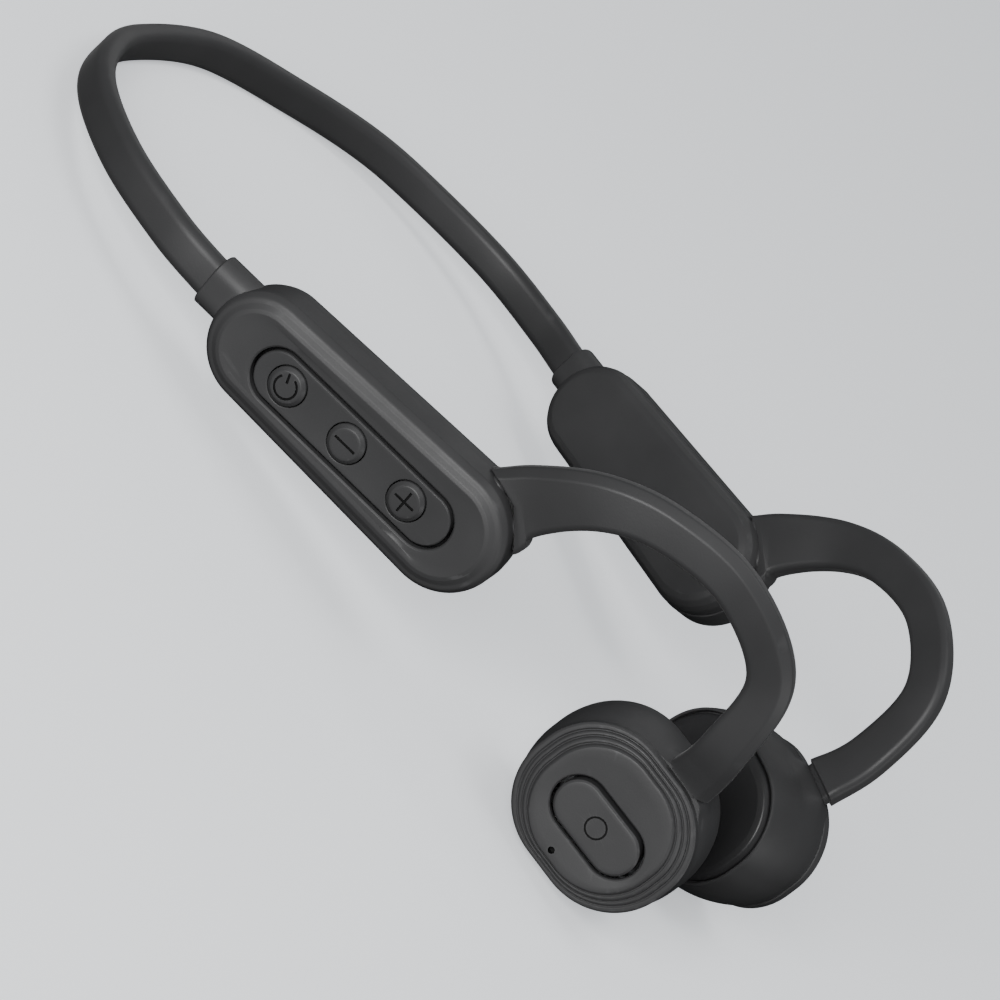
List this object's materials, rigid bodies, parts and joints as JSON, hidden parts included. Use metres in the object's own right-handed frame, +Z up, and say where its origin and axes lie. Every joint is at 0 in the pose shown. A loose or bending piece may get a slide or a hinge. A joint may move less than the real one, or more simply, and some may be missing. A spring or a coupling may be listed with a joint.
{
  "type": "bone conduction headphones",
  "caption": "Open-ear bone conduction headphones: a sprung neckband joins two arm pods with ear hooks that carry cheekbone speakers; keys on one pod, a button on one speaker.",
  "frame": {"origin": "bottom centre of the bounding box; the set lies on a table on the two speakers and the back of the neckband", "axes": "+X is the wearer's right, +Y is forward from the neckband towards the speakers, +Z is up from the table"},
  "size_m": [0.1122, 0.1385, 0.0464],
  "materials": {
    "housing_plastic": "fine satin texture, worn smooth at the edges",
    "soft_rubber": "matte silicone",
    "pad_plastic": "smooth skin-contact coating",
    "board": "solder mask over glass fibre",
    "chip": "moulded epoxy",
    "steel": "stamped and drawn steel",
    "magnet_plate": "bright nickel plating",
    "contact_metal": "thin gold plating",
    "copper_wire": "lacquered copper strands",
    "cell_foil": "laminated foil pouch",
    "foam": "soft closed-cell foam"
  },
  "bodies": {
    "right_arm": {"right_pod_outer_shell": "housing_plastic", "right_pod_inner_shell": "housing_plastic", "right_pod_seal": "soft_rubber", "right_collar": "housing_plastic", "key_panel": "housing_plastic", "key_panel_gasket": "soft_rubber", "key_switches": "steel", "key_board": "board", "main_board": "board", "main_board_chips": "chip", "charging_contacts": "contact_metal", "charging_magnets": "magnet_plate", "neckband_sleeve_right": "soft_rubber", "neckband_wire_right": "steel", "neckband_cable_right": "copper_wire", "right_hook_anchor": "housing_plastic"},
    "left_arm": {"left_pod_outer_shell": "housing_plastic", "left_pod_inner_shell": "housing_plastic", "left_pod_seal": "soft_rubber", "left_collar": "housing_plastic", "battery": "cell_foil", "battery_board": "board", "battery_pads": "foam", "neckband_sleeve_left": "soft_rubber", "neckband_wire_left": "steel", "neckband_cable_left": "copper_wire", "left_hook_anchor": "housing_plastic"},
    "right_speaker": {"right_ear_hook": "soft_rubber", "right_hook_wire": "steel", "right_hook_leads": "copper_wire", "right_speaker_barrel": "housing_plastic", "right_speaker_cap": "housing_plastic", "right_cap_seal": "soft_rubber", "right_contact_pad": "pad_plastic", "right_spring_plate": "steel", "right_voice_coil": "copper_wire", "button_switch": "steel", "button_board": "board", "microphone": "contact_metal", "microphone_mesh": "steel"},
    "left_speaker": {"left_ear_hook": "soft_rubber", "left_hook_wire": "steel", "left_hook_leads": "copper_wire", "left_speaker_barrel": "housing_plastic", "left_speaker_cap": "housing_plastic", "left_cap_seal": "soft_rubber", "left_contact_pad": "pad_plastic", "left_spring_plate": "steel", "left_voice_coil": "copper_wire"},
    "key_power": {"key_power": "housing_plastic"},
    "key_volume_down": {"key_volume_down": "housing_plastic"},
    "key_volume_up": {"key_volume_up": "housing_plastic"},
    "multifunction_button": {"multifunction_button": "housing_plastic"},
    "right_driver": {"right_yoke": "steel", "right_magnet": "magnet_plate"},
    "left_driver": {"left_yoke": "steel", "left_magnet": "magnet_plate"}
  },
  "joints": [
    {"name": "neckband_spread", "type": "hinge", "parent": "right_arm", "child": "left_arm", "pos_m": [0, -0.06936, 0.00251], "axis": [0, 0, 1], "range_deg": [0, 44], "stiffness_Nm_per_rad": 0.3},
    {"name": "right_hook_flex", "type": "hinge", "parent": "right_arm", "child": "right_speaker", "pos_m": [0.04043, 0.02359, 0.02653], "axis": [0, 0, -1], "range_deg": [-5, 12], "stiffness_Nm_per_rad": 0.25},
    {"name": "left_hook_flex", "type": "hinge", "parent": "left_arm", "child": "left_speaker", "pos_m": [-0.04043, 0.02359, 0.02653], "axis": [0, 0, 1], "range_deg": [-5, 12], "stiffness_Nm_per_rad": 0.25},
    {"name": "key_power_press", "type": "slide", "parent": "right_arm", "child": "key_power", "axis": [-0.9521, -0.2954, 0.0787], "range_m": [0, 0.0004], "stiffness_N_per_m": 300},
    {"name": "key_volume_down_press", "type": "slide", "parent": "right_arm", "child": "key_volume_down", "axis": [-0.9521, -0.2954, 0.0787], "range_m": [0, 0.0004], "stiffness_N_per_m": 300},
    {"name": "key_volume_up_press", "type": "slide", "parent": "right_arm", "child": "key_volume_up", "axis": [-0.9521, -0.2954, 0.0787], "range_m": [0, 0.0004], "stiffness_N_per_m": 300},
    {"name": "multifunction_button_press", "type": "slide", "parent": "right_speaker", "child": "multifunction_button", "axis": [-0.9618, -0.2708, -0.0388], "range_m": [0, 0.0004], "stiffness_N_per_m": 350},
    {"name": "right_driver_swing", "type": "slide", "parent": "right_speaker", "child": "right_driver", "axis": [0.9618, 0.2708, 0.0388], "range_m": [-0.0002, 0.0002], "stiffness_N_per_m": 2000},
    {"name": "left_driver_swing", "type": "slide", "parent": "left_speaker", "child": "left_driver", "axis": [-0.9618, 0.2708, 0.0388], "range_m": [-0.0002, 0.0002], "stiffness_N_per_m": 2000}
  ]
}
